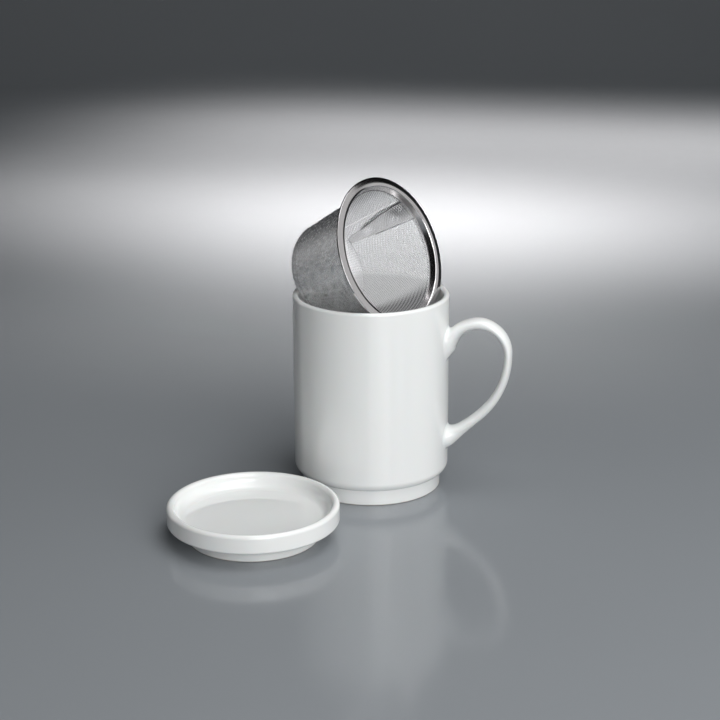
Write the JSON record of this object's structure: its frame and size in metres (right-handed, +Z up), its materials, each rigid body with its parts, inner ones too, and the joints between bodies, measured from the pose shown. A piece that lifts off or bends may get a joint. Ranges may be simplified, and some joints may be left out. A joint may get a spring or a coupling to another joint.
{
  "type": "lidded tea mug with infuser",
  "caption": "Straight-sided white porcelain tea mug with a loop handle, a loose tray-shaped lid beside it and a lift-out steel mesh infuser leaning in its mouth.",
  "frame": {"origin": "centre of the mug's foot, on the table", "axes": "+Z up along the mug's axis, +X from the mug's axis towards its handle"},
  "size_m": [0.1604, 0.169, 0.165],
  "materials": {
    "porcelain": "white gloss glaze",
    "steel": "satin stainless steel with polished edges",
    "mesh": "finely perforated stainless steel sheet"
  },
  "bodies": {
    "mug": {"mug_body": "porcelain", "mug_handle": "porcelain"},
    "infuser": {"infuser_rim": "steel", "infuser_basket": "mesh"},
    "lid": {"lid": "porcelain"}
  },
  "joints": [
    {"name": "infuser_lift", "type": "slide", "parent": "mug", "child": "infuser", "axis": [0, 0, 1], "range_m": [0, 0.07]},
    {"name": "lid_lift", "type": "slide", "parent": "mug", "child": "lid", "axis": [0, 0, 1], "range_m": [0, 0.12]}
  ]
}
